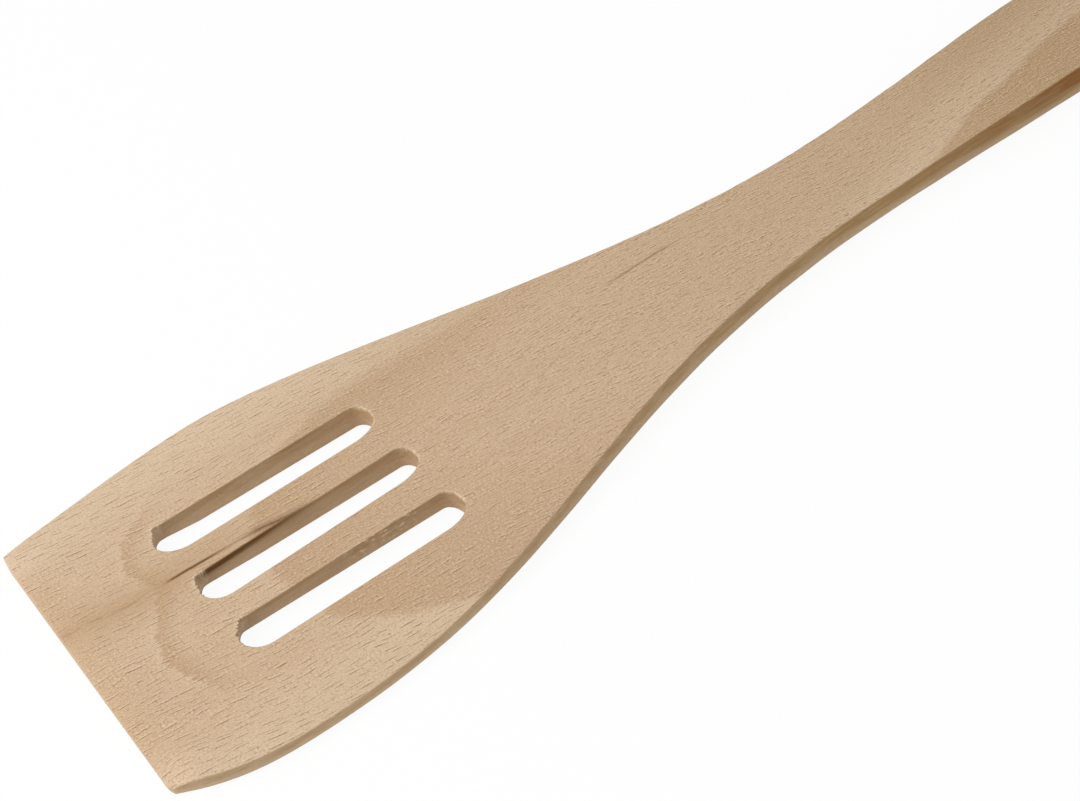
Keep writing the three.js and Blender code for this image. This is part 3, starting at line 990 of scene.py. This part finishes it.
# Stage: pale floor that the camera sees as white, with part of the shadow kept
stage = {
    "size": 6, "drop": 0.0002,
    "floorColour": (0.9, 0.9, 0.89, 1),
    "white": (1, 1, 1, 1),
    "whiteShare": 0.93,
    "worldStrength": 0.438,
    "aim": (-0.05, 0, 0),
    "key": {"place": (-0.66, 0.26, 0.74), "size": 0.8, "power": 7.45},
    "fill": {"place": (0, -0.75, 0.6), "size": 0.9, "power": 1.5},
}


# Shows a lit shader, and by its share a white one on rays that don't light the object
def showWhite(tree, surface, lit, white, share):
    path = addNode(tree, "LightPath").outputs
    seen = Signal(path["Is Camera Ray"])
    for name in ("Is Glossy Ray", "Is Transmission Ray"):
        seen = seen.math("ADD", Signal(path[name]), clamp=True)
    mix = seen.to("MixShader", {0: seen * share, 1: lit, 2: white})
    tree.links.new(mix.socket, surface)


def makeFloor():
    half = stage["size"] / 2
    low = cadLow.z - stage["drop"]
    corners = [(x, y, low) for y in (-half, half) for x in (-half, half)]
    mesh = bpy.data.meshes.new("floor")
    mesh.from_pydata(corners, [], [(0, 1, 3, 2)])
    floor = addObject("floor", mesh)
    material = bpy.data.materials.new("pale_floor")
    tree, surface = emptyTree(material, "OutputMaterial")
    lit = newSignal(tree, "BsdfDiffuse", {0: stage["floorColour"]})
    white = newSignal(tree, "Emission", {0: stage["white"]})
    showWhite(tree, surface, lit, white, stage["whiteShare"])
    mesh.materials.append(material)


def makeWorld():
    world = bpy.data.worlds.new("studio")
    bpy.context.scene.world = world
    tree, surface = emptyTree(world, "OutputWorld")
    lit = newSignal(tree, "Background", {0: stage["white"], 1: stage["worldStrength"]})
    white = newSignal(tree, "Background", {0: stage["white"], 1: 1.0})
    showWhite(tree, surface, lit, white, 1.0)


def makeLamp(name):
    plan = stage[name]
    lamp = bpy.data.lights.new(name, "AREA")
    lamp.shape = "DISK"
    lamp.size = plan["size"]
    lamp.energy = plan["power"]
    holder = addObject(name, lamp)
    holder.location = plan["place"]
    toAim = Vector(stage["aim"]) - holder.location
    holder.rotation_euler = toAim.to_track_quat("-Z", "Y").to_euler()


# Camera: set by where it aims, how far off it stands and how it is rolled
camera = {
    "lens": 60, "sensor": 36, "clip": (0.01, 20),
    "aim": (-0.04772, -0.00292, 0), "distance": 0.36134,
    "azimuthDegrees": -121.7, "elevationDegrees": 49.55, "rollDegrees": -8.167,
}


def makeCamera():
    data = bpy.data.cameras.new("camera")
    data.lens = camera["lens"]
    data.sensor_width = camera["sensor"]
    data.sensor_fit = "HORIZONTAL"
    data.clip_start, data.clip_end = camera["clip"]
    shot = addObject("camera", data)
    a = math.radians(camera["azimuthDegrees"])
    e = math.radians(camera["elevationDegrees"])
    back = Vector((math.cos(a) * math.cos(e), math.sin(a) * math.cos(e), math.sin(e)))
    place = Vector(camera["aim"]) + back * camera["distance"]
    upright = back.to_track_quat("Z", "Y").to_matrix().to_4x4()
    roll = Matrix.Rotation(math.radians(camera["rollDegrees"]), 4, "Z")
    shot.matrix_world = Matrix.Translation(place) @ upright @ roll
    bpy.context.scene.camera = shot


makeFloor()
makeWorld()
makeLamp("key")
makeLamp("fill")
makeCamera()
bpy.context.scene.view_settings.view_transform = "Standard"
print("stage, light and camera made")
